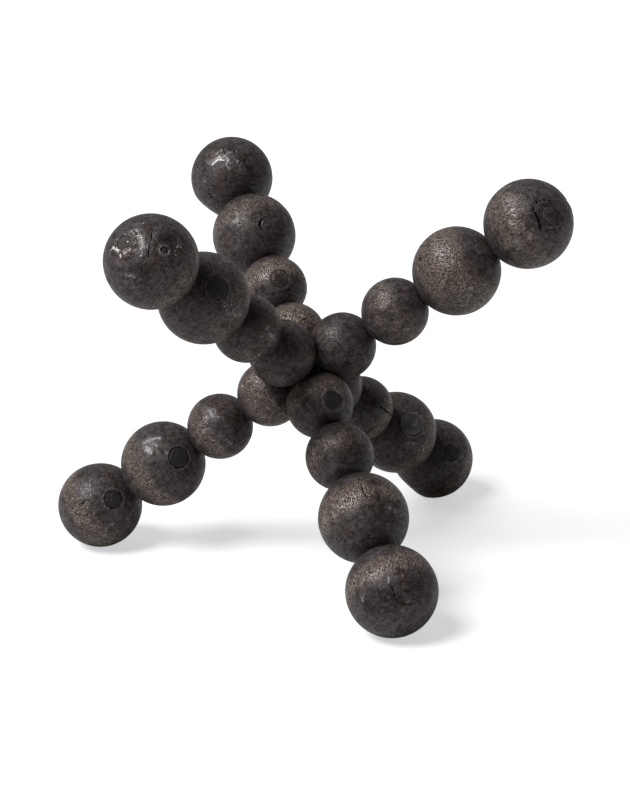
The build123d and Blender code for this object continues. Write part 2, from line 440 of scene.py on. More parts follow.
            (1.5, 0.6, (-117, 45), (-107, 52), (-98, 54), (-82, 56)), (2.8, 0.5, (-108, 40), (-98, 34)),
            (1.5, 0.4, (-96, 47), (-88, 44)),
        ],
        "gloss": [(2.5, 0.8, (-113, 48), (-79, 55)), (2.5, 0.7, (-103, 38), (-96, 33))],
    },
    "lower_left_second": {
        "dark": [(9, 0.7, (-45, 25))],
        "bloom": [(3.5, 0.5, (-90, 30)), (3, 0.5, (-98, 10), (-62, -12))],
        "pale": [
            (1.3, 0.6, (-106, 49), (-96, 37)), (0.8, 0.6, (-103, 32), (-80, 35)),
            (1.6, 0.4, (-98, 15), (-111, 7)), (1.3, 0.35, (-68, -6), (-57, -17)), (0.9, 0.3, (-64, 16)),
        ],
        "gloss": [(3, 0.7, (-110, 30))],
    },
    "lower_left_inner": {
        "warm": [(3, 0.5, (-87, -20), (-72, -14))],
        "bloom": [(3, 0.5, (-112, 12))],
        "pale": [(1.2, 0.55, (-107, 1)), (0.9, 0.5, (-104, -27))],
        "glint": [(0.8, 1, (-143, 22)), (0.35, 0.7, (-96, 35))],
    },
    "lower_front_tip": {
        "dark": [(8.5, 0.75, (-57, 22)), (8, 0.9, (-100, 18), (-80, 15)), (7, 0.8, (-112, 0), (-85, 0))],
        "warm": [(3, 0.5, (-74, 1)), (4, 0.6, (-60, -30)), (3, 0.5, (-85, -10), (-70, -8))],
        "bloom": [
            (2.4, 0.9, (-108, 37)), (2.2, 0.9, (-88, 37)), (1.8, 0.8, (-122, 9)),
            (3, 1, (-94, -13), (-86, -8)), (2.6, 1, (-73, -15)), (2.6, 1, (-62, 11)),
            (4, 0.4, (-112, -14)), (1.6, 0.7, (-70, -3)), (3, 0.35, (-100, 12)), (16, 0.22, (-80, -10)),
        ],
        "pale": [
            (1.5, 0.55, (-108, 37)), (1.1, 0.5, (-88, 40), (-88, 34)), (1.1, 0.45, (-122, 10), (-121, 5)),
            (0.5, 0.9, (-66, 41)), (0.7, 0.7, (-70, -2)), (0.4, 1, (-67, -21)),
            (0.35, 0.35, (-52, 59), (-34, 60), (-17, 55), (-15, 49), (-20, 43)),
            (0.4, 0.3, (-52, 54), (-46, 48), (-36, 46)),
        ],
        "crack": [
            (0.5, 0.8, (-84, 29), (-81, 24), (-79, 16), (-75, 9), (-69, 6), (-60, 5)),
            (0.6, 0.9, (-71, -24), (-74, -30), (-74, -38)),
        ],
        "pit": [(0.7, 0.7, (-66, -38))],
    },
    "lower_front_third": {
        "dark": [
            (5, 0.8, (-40, 70)), (8, 0.7, (-56, 28)), (8, 0.5, (-60, 10)), (4, 0.7, (-58, 48), (-55, 26)),
        ],
        "bloom": [(2.2, 0.8, (-44, 30), (-10, 7)), (3, 0.4, (-99, 22))],
        "pale": [
            (1.1, 0.3, (-99, 22)), (1.5, 0.35, (-137, 11)), (0.8, 0.4, (-41, 60), (-37, 48)),
            (1.4, 0.7, (-42, 29)), (1.2, 0.7, (-34, 22)), (1.4, 0.7, (-25, 15)), (1.1, 0.6, (-12, 8)),
        ],
        "crack": [(0.6, 0.7, (-95, 72), (-84, 58), (-75, 46))],
        "pit": [(0.9, 1, (-108, 79)), (0.6, 0.6, (-96, 75))],
    },
    "lower_front_second": {
        "dark": [(8, 0.6, (-60, 25)), (2, 0.9, (-86, -4), (-76, -7)), (9, 0.7, (-46, 22))],
        "pale": [(0.5, 0.7, (-95, 55)), (0.8, 0.6, (-7, 27), (-6, 15))],
        "pit": [(0.8, 0.9, (-126, 27))],
    },
    "lower_front_inner": {
        "dark": [(5, 0.7, (-70, -5)), (4, 0.2, (-95, 10))],
        "pale": [(0.35, 0.45, (-104, 21), (-100, 12), (-91, 18)), (0.3, 0.4, (-103, 9), (-87, 7))],
    },
    "lower_back_tip": {
        "dark": [(5, 1, (-58, 25)), (9, 0.3, (-75, 15))],
        "warm": [(1.8, 0.9, (-52, 24))],
        "bloom": [
            (1.6, 0.8, (-58, 12), (-48, 10)), (2.4, 0.9, (-100, -17)), (1.8, 0.9, (-36, 16)),
            (9, 0.25, (-80, -15)),
        ],
        "pale": [
            (1, 0.5, (-35, 17)), (0.8, 0.4, (-47, 13), (-59, 7)), (1.4, 0.45, (-100, -17)),
            (1.2, 0.9, (-36, 15)),
        ],
    },
    "lower_back_third": {
        "dark": [(10, 0.45, (-75, 20))],
        "bloom": [(2.4, 1, (-64, 2), (-56, -2)), (9, 0.3, (-70, -20))],
        # pale: dried wax, and a painted highlight over the domed plug
        "pale": [
            (1.4, 0.95, (-38, 13)), (1, 0.4, (-45, 45), (-32, 36), (-32, 24)), (1, 0.35, (-1, 64)),
            (1, 0.6, (-48, 34), (-49, 28)), (4, 0.55, (-54, 27)), (1.4, 0.6, (-66, 3), (-58, 1)),
        ],
        "gloss": [(5.5, 0.8, (-55, 27))],
        "spark": [(0.7, 0.6, (-49, 33), (-49, 27))],
    },
    "lower_back_second": {
        "dark": [(5, 1, (-55, 28))],
        "pale": [(1.6, 0.5, (-25, 25)), (1.2, 0.35, (-28, 27))],
        "crack": [(0.9, 1, (-44, 17), (-30, 5), (-8, -10))],
    },
    # painted shade: the 40 mm dark mark darkens this ball, which lies near the jack's middle
    "lower_back_inner": {"dark": [(40, 0.24, (-80, 0))]},
}
# A ring is the azimuth and elevation of its middle, its radius, width and height in mm, and how pale it is.
RINGS = {
    "upper_front_tip": [(-58, 26, 2.6, 0.6, 0.45, 0.5)],
    "upper_front_third": [(-57, 26, 6.8, 0.5, 0.1, 0.2)],
    "upper_back_second": [(-68, 31, 6.4, 0.5, 0.12, 0.25)],
    "upper_right_tip": [(-58, 24, 1.6, 0.4, 0.14, 0.25), (-58, 24, 3.2, 0.5, 0.14, 0.3)],
    "lower_left_tip": [(-53, 26, 6.5, 0.4, 0.15, 0.35)],
    "lower_left_third": [(-52, 25, 7.0, 0.4, 0.12, 0.2)],
    "lower_left_second": [(-94, 45, 1.6, 0.4, 0.15, 0.5)],
    "lower_front_second": [(-74, 51, 1.6, 0.4, 0.15, 0.6)],
    "lower_front_inner": [(-54, 24, 6.4, 0.5, 0.45, 0.4)],
    "lower_back_third": [(-55, 27, 7.0, 0.5, 0.2, 0.5)],
}
# Where the char has worn off each ball's fibres: the middle and the half width of a band along the
# arm's axis, as shares of the radius, and how much has gone, from 0 to 1.
WORN = {
    "upper_front_tip": (-0.2, 0.35, 0.5),
    "upper_front_third": (-0.1, 0.4, 0.4),
    "upper_front_second": (0.1, 0.35, 0.55),
    "upper_front_inner": (0.0, 0.3, 0.35),
    "upper_back_tip": (0.0, 0.1, 0.0),
    "upper_back_third": (0.2, 0.25, 0.7),
    "upper_back_second": (0.1, 0.4, 0.9),
    "upper_back_inner": (0.0, 0.6, 1.0),
    "upper_right_tip": (-0.2, 0.4, 0.65),
    "upper_right_third": (-0.05, 0.6, 1.0),
    "upper_right_second": (0.0, 0.45, 0.5),
    "upper_right_inner": (0.0, 0.3, 0.3),
    "lower_left_tip": (0.15, 0.3, 0.8),
    "lower_left_third": (0.28, 0.25, 0.85),
    "lower_left_second": (0.3, 0.35, 0.7),
    "lower_left_inner": (0.1, 0.5, 0.65),
    "lower_front_tip": (-0.15, 0.22, 1.0),
    "lower_front_third": (-0.1, 0.35, 0.9),
    "lower_front_second": (0.1, 0.4, 0.5),
    "lower_front_inner": (-0.1, 0.4, 0.65),
    "lower_back_tip": (0.2, 0.3, 0.7),
    "lower_back_third": (0.1, 0.3, 0.7),
    "lower_back_second": (0.2, 0.35, 0.75),
    "lower_back_inner": (0.0, 0.3, 0.4),
}
# How crumbled the wood is round each open magnet.
ROUGH_POLES = {"upper_front_tip": 1, "upper_back_tip": 0.4, "lower_front_tip": 0.5, "upper_right_tip": 0.5}
# A flattened side: its azimuth and elevation, and its distance from the ball's centre in mm.
SIDE_FLATS = {"lower_back_tip": (-153, -44, 23.2), "upper_back_tip": (-149, -49, 24.1)}


def local(ball, azimuth, elevation):
    """A direction of the row frame, in a ball's own frame."""
    return ball["axes"] @ direction(azimuth, elevation)


def line_distance(directions, ball, points):
    """Distance in mm from a line of points over the sphere, or from its one point."""
    corners = [local(ball, azimuth, elevation) for azimuth, elevation in points]
    best = np.linalg.norm(directions - corners[0], axis=1)
    for start, end in zip(corners, corners[1:]):
        side = end - start
        share = np.clip((directions - start) @ side / (side @ side), 0, 1)
        nearest = start + share[:, None] * side
        best = np.minimum(best, np.linalg.norm(directions - nearest, axis=1))
    return best * ball["radius"]


def marks_of(name, kind):
    return MARKS.get(name, {}).get(kind, [])


def marks(name, kind, ball, directions):
    """Strength of a ball's marks of one kind, with uneven edges."""
    total = np.zeros(len(directions))
    for size, strength, *points in marks_of(name, kind):
        distance = line_distance(directions, ball, points)
        total = np.maximum(total, np.exp(-2 * (distance / size) ** 2) * strength)
    if total.max() > 0:
        uneven = Noise(SEED + 5)(directions * ball["radius"], 0.6)
        total = np.clip(total * (1 + 0.8 * uneven), 0, 1)
    return total


def rings(name, ball, directions):
    """Each ring's outline, with its height and its paleness."""
    surface = directions * ball["radius"]
    uneven = Noise(SEED + 9)(surface, 0.5)
    for azimuth, elevation, ring_radius, width, rise, paleness in RINGS.get(name, []):
        centre = local(ball, azimuth, elevation)
        beside = np.linalg.norm(np.cross(surface, centre), axis=1)
        ring = np.exp(-((beside - ring_radius) / width) ** 2) * np.clip(1 + 1.2 * uneven, 0.4, 1.4)
        yield np.where(surface @ centre > 0, ring, 0), rise, paleness


def relief(name, ball, directions):
    """How far the worn surface stands above the true sphere, in mm."""
    noise = Noise(SEED + sum(map(ord, name)) * 7)
    surface = directions * ball["radius"]
    height = 0.10 * noise(surface, 0.05) + 0.05 * noise(surface, 0.16)
    height += 0.02 * noise(surface, 0.6)
    height += 0.02 * noise(surface * [0.1, 0.1, 1.3])
    height -= 1.0 * marks(name, "pit", ball, directions)
    height -= 0.5 * marks(name, "crack", ball, directions)
    for ring, rise, _ in rings(name, ball, directions):
        height += rise * ring
    gloss = marks(name, "gloss", ball, directions)
    height += 0.16 * gloss * (noise(surface, 0.35) + 0.6 * noise(surface, 0.8))
    return height


def crust(name, ball, directions):
    """Height of the charred crust round the open magnet at an arm's end."""
    noise = Noise(SEED + 3)
    surface = directions * ball["radius"]
    outer = np.clip((directions[:, 2] - 0.86) / 0.08, 0, 1) * ROUGH_POLES[name]
    return 0.45 * outer * (noise(surface, 0.22) + 0.6 * noise(surface, 0.6))


def paint(name, ball, directions):
    """The layers that the materials read."""
    kinds = ("dark", "pale", "bloom", "warm", "gloss", "glint", "spark")
    layers = {kind: marks(name, kind, ball, directions) for kind in kinds}
    holes = marks(name, "crack", ball, directions) + marks(name, "pit", ball, directions)
    layers["crack"] = np.clip(holes, 0, 1)
    layers["ring"] = np.zeros(len(directions))
    for ring, _, paleness in rings(name, ball, directions):
        layers["ring"] = np.maximum(layers["ring"], ring * paleness)
    middle, half_width, amount = WORN[name]
    band = (half_width + 0.15 - np.abs(directions[:, 2] - middle)) / 0.3
    layers["worn"] = np.clip(band, 0, 1) * amount
    return layers


# ---- plugs ----
# Lengths are in mm. at: the plug's azimuth and elevation. hole: radius of its opening. gap: width of the
# groove round it. crown: how far it stands out. rough: height of its crumbs. dome: extra height of its
# middle. scallop: unevenness of the opening, as a share. notch: azimuth, elevation and depth of a bite out
# of the opening's edge. smeared: filled over and sanded in with its ball.
PLUG_LOOKS = {
    "upper_right_tip": dict(at=(-57, 24), hole=5.6, gap=0.06, crown=-0.05, rough=0.10, smeared=True),
    "upper_back_tip": dict(at=(-54, 23), hole=5.1, gap=0.04, crown=0.0, rough=0.04, smeared=True),
    "upper_back_third": dict(
        at=(-54, 25), hole=5.5, gap=0.16, crown=0.0, rough=0.16, notch=(-70, 28, 1.5), smeared=True
    ),
    "upper_back_second": dict(at=(-68, 31), hole=5.1, gap=0.18, crown=-0.15, rough=0.16, smeared=True),
    "upper_back_inner": dict(at=(-54, 26), hole=5.1, gap=0.08, crown=-0.05, rough=0.12, smeared=True),
    "upper_front_tip": dict(at=(-55, 25), hole=5.6, gap=0.05, crown=-0.1, rough=0.16, smeared=True),
    "upper_front_third": dict(at=(-57, 26), hole=6.1, gap=0.14, crown=0.0, rough=0.03),
    "lower_back_tip": dict(at=(-54, 26), hole=5.1, gap=0.10, crown=-0.1, rough=0.10),
    "lower_back_third": dict(at=(-55, 27), hole=6.4, gap=0.22, crown=0.35, dome=0.8, rough=0.02),
    "lower_back_second": dict(at=(-55, 27), hole=5.0, gap=0.04, crown=0.0, rough=0.04, smeared=True),
    "lower_left_tip": dict(at=(-54, 26), hole=5.3, gap=0.20, crown=-0.30, rough=0.35, scallop=0.11),
    "lower_left_third": dict(at=(-52, 25), hole=6.1, gap=0.40, crown=0.0, rough=0.08, scallop=0.07),
    "lower_front_tip": dict(at=(-56, 24), hole=5.6, gap=0.05, crown=-0.05, rough=0.10, smeared=True),
    "lower_front_inner": dict(at=(-55, 25), hole=4.8, gap=0.15, crown=-0.3, rough=0.10),
}
# How polished each plug is. On an end-grain plug it also lightens the colour: a painted highlight.
PLUG_POLISH_AND_PAINTED_SHEEN = {"lower_back_third": 1.0, "upper_back_third": 0.5}


def plug_frame(ball, look):
    """A plug's axis and two directions across it, in its ball's own frame."""
    axis = local(ball, *look["at"])
    u = np.cross(axis, [0.0, 1.0, 0.0])
    u /= np.linalg.norm(u)
    return axis, u, np.cross(axis, u)


def plug_outline(ball, look):
    """The opening's radius, as a function of the angle about the plug's axis."""
    scallop = look.get("scallop", 0.0)
    axis, u, v = plug_frame(ball, look)

    def outline(angle):
        radius = look["hole"] * (1 + scallop * (np.abs(np.sin(angle * 5.0 + 0.4)) - 0.5))
        radius = radius + look["hole"] * scallop * 0.5 * (np.sin(angle * 3 + 1.0) + np.sin(angle * 8 + 2.0))
        if "notch" in look:
            azimuth, elevation, depth = look["notch"]
            toward = local(ball, azimuth, elevation)
            middle = math.atan2(toward @ v, toward @ u)
            turn = np.angle(np.exp(1j * (angle - middle)))
            radius = radius + depth * np.exp(-(turn / 0.55) ** 2)
        return radius

    return outline


def plug_shape(name, ball):
    """Vertices, triangles and layers of a plug, as a turned form about its axis."""
    look = PLUG_LOOKS[name]
    axis, u, v = plug_frame(ball, look)
    noise = Noise(SEED + sum(map(ord, name)))
    outer = look["hole"] - look["gap"]
    radii = np.linspace(0, 1, PLUG_RINGS + 1)[1:] ** 0.8 * outer
    k = np.arange(PLUG_SEGMENTS)
    angles = k / PLUG_SEGMENTS * 2 * math.pi
    r, a = np.meshgrid(radii, angles, indexing="ij")
    r, a = r.ravel(), a.ravel()
    r *= 1 + look.get("scallop", 0.0) * 0.5 * np.sin(a * 5 + 2.0) * (r / outer) ** 2
    seat = ball["radius"] - PLUG_LENGTH + 0.1

    def crown(r, flat):
        on_sphere = flat + axis * np.sqrt(ball["radius"] ** 2 - r ** 2)[:, None]
        directions = on_sphere / ball["radius"]
        height = np.sqrt((ball["radius"] + look["crown"]) ** 2 - r ** 2)
        height += look.get("dome", 0.0) * (1 - (r / outer) ** 2)
        height -= 0.3 * np.clip((r - outer + 0.5) / 0.5, 0, 1) ** 2
        height += look["rough"] * (noise(flat, 0.6) * 0.6 + noise(flat, 1.7) * 0.4)
        return flat + axis * (height + relief(name, ball, directions))[:, None], directions

    flat = u * (r * np.cos(a))[:, None] + v * (r * np.sin(a))[:, None]
    surface, directions = crown(r, flat)
    top, top_direction = crown(np.zeros(1), np.zeros((1, 3)))
    wall = flat[-PLUG_SEGMENTS:] + axis * seat
    vertices = np.concatenate([top, surface, wall, [axis * seat]])
    directions = np.concatenate([top_direction, directions])
    after = (k + 1) % PLUG_SEGMENTS
    faces = [rows(0 * k, 1 + k, 1 + after)]
    starts = 1 + np.arange(PLUG_RINGS + 1) * PLUG_SEGMENTS
    for low, high in zip(starts, starts[1:]):
        faces.append(rows(low + k, high + k, high + after))
        faces.append(rows(low + k, high + after, low + after))
    hub = 0 * k + len(vertices) - 1
    faces.append(rows(starts[-1] + k, hub, starts[-1] + after))
    layers = paint(name, ball, directions)
    layers["gloss"] = np.maximum(layers["gloss"], PLUG_POLISH_AND_PAINTED_SHEEN.get(name, 0.0))
    padding = np.zeros(len(vertices) - len(directions))
    layers = {layer: np.concatenate([data, padding]) for layer, data in layers.items()}
    layers["grain"] = vertices + grain_offset(name)
    return vertices, np.concatenate(faces), layers


# ---- ball shape ----
SPHERE = unit_sphere()


def flat_axes(name, ball):
    """A ball's flats: both poles, and the four neighbours of an inner ball."""
    axes = [np.array([0.0, 0.0, 1.0]), np.array([0.0, 0.0, -1.0])]
    if name.endswith("inner"):
        for other, entry in BALLS.items():
            if other.endswith("inner") and abs(entry["axis"] @ ball["axis"]) < 0.5:
                axes.append(ball["axes"] @ (entry["axis"] - ball["axis"]) / math.sqrt(2))
    return axes


def fine_zone(name, ball, directions):
    """Vertices that need a finer mesh: round a plug, a pit or a crack."""
    hot = np.zeros(len(directions), bool)
    if name in PLUG_LOOKS:
        look = PLUG_LOOKS[name]
        hot |= line_distance(directions, ball, [look["at"]]) < look["hole"] + 1.8
    for kind in ("pit", "crack"):
        for size, _, *points in marks_of(name, kind):
            hot |= line_distance(directions, ball, points) < 1.5 * size
    return hot


def ball_shape(name, ball):
    """Vertices, triangles and layers of a worn ball with its flats, pockets and plug's bore."""
    radius = ball["radius"]
    directions, triangles = SPHERE
    for _ in range(FINE_PASSES):
        hot = fine_zone(name, ball, directions)
        if hot.any():
            directions, triangles = refine(directions, triangles, hot)
    surface = directions * radius
    height = radius + relief(name, ball, directions)
    if name in PLUG_LOOKS:
        look = PLUG_LOOKS[name]
        axis, u, v = plug_frame(ball, look)
        beside = np.linalg.norm(np.cross(surface, axis), axis=1)
        lip = plug_outline(ball, look)(np.arctan2(surface @ v, surface @ u))
        rounding = (0.15 + look["gap"] * 0.5) * np.exp(-((beside - lip) / 0.3) ** 2)
        height -= np.where(surface @ axis > 0, rounding, 0)
    points = directions * height[:, None]
    planes = [(flat_axis, radius - FLAT_DEPTH, 0.25) for flat_axis in flat_axes(name, ball)]
    if name in SIDE_FLATS:
        azimuth, elevation, distance = SIDE_FLATS[name]
        planes.append((local(ball, azimuth, elevation), distance, 2.5))
    for flat_axis, distance, width in planes:
        along = points @ flat_axis
        points += flat_axis * (soft_min(along, distance, width) - along)[:, None]
    if name in ROUGH_POLES:
        points += directions * crust(name, ball, directions)[:, None]
    layers = paint(name, ball, directions)
    grain = points.copy()
    for pole in (1.0, -1.0):
        pole_axis = np.array([0.0, 0.0, pole])
        shape = points, triangles, grain
        points, triangles, grain = bore(*shape, pole_axis, pocket_outline, POCKET_DEPTH)
    if name in PLUG_LOOKS:
        outline = plug_outline(ball, look)
        points, triangles, grain = bore(points, triangles, grain, axis, outline, PLUG_LENGTH)
    padding = np.zeros(len(points) - len(directions))
    layers = {layer: np.concatenate([data, padding]) for layer, data in layers.items()}
    layers["grain"] = grain + grain_offset(name)
    return drop_unused(points, triangles, layers)


def pocket_outline(angle):
    return np.full(len(angle), POCKET_RADIUS)


def grain_offset(name):
    """Shift of a ball's pattern, so that no two balls are cut from the same wood."""
    return np.random.default_rng(SEED + sum(map(ord, name))).uniform(-400, 400, 3)


def place(obj, ball, body):
    """Turns a piece from its ball's own frame into the row frame and rides it on its body."""
    to_row = Matrix(ball["axes"].T.tolist()).to_4x4()
    obj.data.transform(to_row)
    obj.location = ball["centre"]
    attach(obj, body)
    return obj


# ---- materials ----
class Nodes:
    """Short calls for building the node tree of a material or of the world."""

    def __init__(self, owner):
        owner.use_nodes = True
        self.owner = owner
        self.tree = owner.node_tree

    def add(self, kind, settings=None, **inputs):
        node = self.tree.nodes.new(kind)
        for key, value in (settings or {}).items():
            setattr(node, key, value)
        for key, value in inputs.items():
            self.feed(node.inputs[key.replace("_", " ")], value)
        return node

    def feed(self, socket, value):
        if isinstance(value, bpy.types.NodeSocket):
            self.tree.links.new(value, socket)
        else:
            socket.default_value = value

    def attribute(self, name):
        node = self.add("ShaderNodeAttribute", {"attribute_name": name})
        return node.outputs["Vector"] if name == "grain" else node.outputs["Fac"]

    def stretch(self, vector, scale):
        node = self.add("ShaderNodeVectorMath", {"operation": "MULTIPLY"})
        self.feed(node.inputs[0], vector)
        self.feed(node.inputs[1], scale)
        return node.outputs[0]

    def noise(self, vector, scale, detail=3.0, roughness=0.5):
        inputs = dict(Vector=vector, Scale=scale, Detail=detail, Roughness=roughness)
        return self.add("ShaderNodeTexNoise", **inputs).outputs["Fac"]

    def dashes(self, vector, scale):
        """A random shade for each cell, and the distance from the cell's middle."""
        node = self.add("ShaderNodeTexVoronoi", Vector=vector, Scale=scale)
        split = self.add("ShaderNodeSeparateColor", Color=node.outputs["Color"])
        return split.outputs[0], node.outputs["Distance"]

    def ragged(self, mask, noise, reach=1.4, low=0.35, high=0.6):
        """A soft mask, broken up along its edge by a noise."""
        shift = self.times(self.minus(noise, 0.5), reach)
        shift = self.times(shift, self.span(mask, 0.05, 0.3))
        return self.span(self.plus(mask, shift), low, high)

    def span(self, value, low, high, to_low=0.0, to_high=1.0):
        node = self.add("ShaderNodeMapRange", {"clamp": True})
        for index, item in enumerate((value, low, high, to_low, to_high)):
            self.feed(node.inputs[index], item)
        return node.outputs[0]

    def math(self, operation, a, b):
        node = self.add("ShaderNodeMath", {"operation": operation})
        self.feed(node.inputs[0], a)
        self.feed(node.inputs[1], b)
        return node.outputs[0]

    def plus(self, a, b):
        return self.math("ADD", a, b)

    def minus(self, a, b):
        return self.math("SUBTRACT", a, b)

    def times(self, a, b):
        return self.math("MULTIPLY", a, b)

    def blend(self, factor, a, b):
        node = self.add("ShaderNodeMix", Factor=factor)
        self.feed(node.inputs[2], a)
        self.feed(node.inputs[3], b)
        return node.outputs[0]

    def mix(self, factor, a, b):
        """The same for colours."""
        node = self.add("ShaderNodeMix", {"data_type": "RGBA"})
        self.feed(node.inputs["Factor"], factor)
        for socket, value in ((node.inputs[6], a), (node.inputs[7], b)):
            self.feed(socket, value if isinstance(value, bpy.types.NodeSocket) else (*value, 1.0))
        return node.outputs[2]

    def bump(self, height, distance):
        return self.add("ShaderNodeBump", Height=height, Distance=distance).outputs[0]

    def surface(self, **inputs):
        """Feeds the surface's inputs and gives the finished material."""
        for key, value in inputs.items():
            self.feed(self.tree.nodes["Principled BSDF"].inputs[key.replace("_", " ")], value)
        return self.owner


def new_material(name):
    return Nodes(bpy.data.materials.new(name))


# Colours are linear red, green and blue.
CHAR = (0.029, 0.0185, 0.0180)
CHAR_WORN = (0.061, 0.0442, 0.0435)
CHAR_DULL = (0.058, 0.0515, 0.0535)
CHAR_LIGHT = (0.108, 0.093, 0.094)
CHAR_DEEP = (0.0145, 0.0097, 0.0097)
TURNED_LIGHT = (0.110, 0.090, 0.086)
TURNED_DEEP = (0.015, 0.011, 0.011)
WAX_SCUFF = (0.120, 0.118, 0.128)
WAX_BLOOM = (0.135, 0.125, 0.128)
WAX_RIDGE = (0.18, 0.172, 0.178)
PALE_WAX_AND_PAINTED_HIGHLIGHT = (0.29, 0.28, 0.295)
OPEN_WOOD = (0.052, 0.0365, 0.0320)
GOLDEN_FIBRE = (0.375, 0.298, 0.237)
PORE = (0.007, 0.0055, 0.005)
RUST_BROWN = (0.070, 0.038, 0.030)
SOOT_AND_PAINTED_SHADE = (0.0150, 0.0102, 0.0097)
CRACK = (0.002, 0.0015, 0.0015)
GOLD_GLINT = (0.80, 0.66, 0.48)
SILVER_SPARK = (0.72, 0.71, 0.74)
GLOSS_TINT = (1.0, 0.915, 0.905, 1.0)


def fibre_fields(n, grain):
    """Open fibres along the arm's axis: how golden each one is, and the pores between them."""
    streak = n.noise(n.stretch(grain, (1, 1, 0.17)), 2.4, 1.0, 0.5)
    stipple = n.span(n.noise(n.stretch(grain, (1, 1, 0.40)), 1.8, 0.0), 0.36, 0.62)
    pore_shade, pore_middle = n.dashes(n.stretch(grain, (1, 1, 0.20)), 1.7)
    strand_shade, strand_middle = n.dashes(n.stretch(grain, (-1, 1, 0.2)), 1.9)
    strand = n.times(n.span(strand_middle, 0.15, 0.5, 1.0, 0.0), n.span(strand_shade, 0.1, 0.7))
    fibres = n.plus(n.times(n.span(streak, 0.36, 0.64), 0.5), n.times(strand, 0.5))
    pore = n.times(n.span(pore_middle, 0.16, 0.40, 1.0, 0.0), n.span(pore_shade, 0.1, 0.5))
    return fibres, stipple, pore


def open_share(n, mid, soot_and_painted_shade):
    """Where the fibres lie open: the worn bands with patchy edges, less under sooty patches and painted
    shade.
    """
    worn = n.attribute("worn")
    patchy = n.times(n.minus(mid, 0.5), 2.0)
    share = n.span(n.plus(worn, n.times(patchy, n.span(worn, 0.0, 0.3))), 0.3, 0.75)
    return n.times(share, n.span(soot_and_painted_shade, 0.0, 0.7, 1.0, 0.0))


def char_colour(n, grain, mid, mottle, speck, closed):
    """The blackened wood before wear: mottled char, lathe lines and scuffed wax."""
    broad = n.noise(grain, 0.06, 3.0)
    wax = n.span(n.noise(n.stretch(grain, (1, 1, 0.8)), 0.2, 4.0, 0.65), 0.54, 0.64)
    colour = n.mix(n.span(mid, 0.36, 0.62), CHAR, CHAR_WORN)
    colour = n.mix(n.span(broad, 0.44, 0.60, 0.0, 0.4), colour, CHAR_DULL)
    colour = n.mix(n.span(mottle, 0.50, 0.66, 0.0, 0.75), colour, CHAR_LIGHT)
    colour = n.mix(n.span(mottle, 0.34, 0.49, 0.85, 0.0), colour, CHAR_DEEP)
    colour = n.mix(n.span(closed, 0.45, 1.0, 0.0, 0.45), colour, TURNED_LIGHT)
    colour = n.mix(n.span(closed, 0.0, 0.35, 0.40, 0.0), colour, TURNED_DEEP)
    scuff = n.times(wax, n.span(speck, 0.40, 0.60, 0.1, 0.7))
    return n.mix(scuff, colour, WAX_SCUFF)


